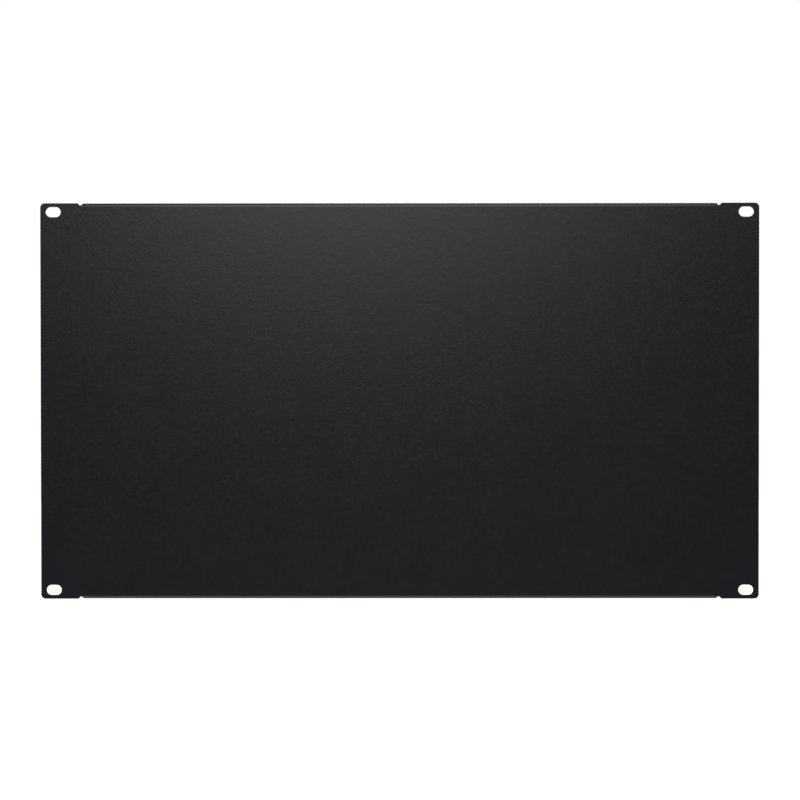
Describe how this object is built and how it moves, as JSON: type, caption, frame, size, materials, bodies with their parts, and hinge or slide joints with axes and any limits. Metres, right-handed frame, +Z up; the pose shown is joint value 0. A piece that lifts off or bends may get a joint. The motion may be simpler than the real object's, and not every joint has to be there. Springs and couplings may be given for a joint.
{
  "type": "rack blanking panel",
  "caption": "Plain blanking panel for an equipment rack, folded back along its top and bottom edges, with a flat slotted ear at each side.",
  "frame": {"origin": "midway between the slots, on the back plane of the ears, where they seat on the rack's rails", "axes": "+X to the right of someone who faces the panel, +Z up, -Y out of the front face"},
  "size_m": [0.4826, 0.0127, 0.2658],
  "materials": {
    "powder_coat": "satin black powder coat with a fine grain, over steel sheet"
  },
  "bodies": {
    "root": {"folded_panel": "powder_coat"}
  },
  "joints": []
}
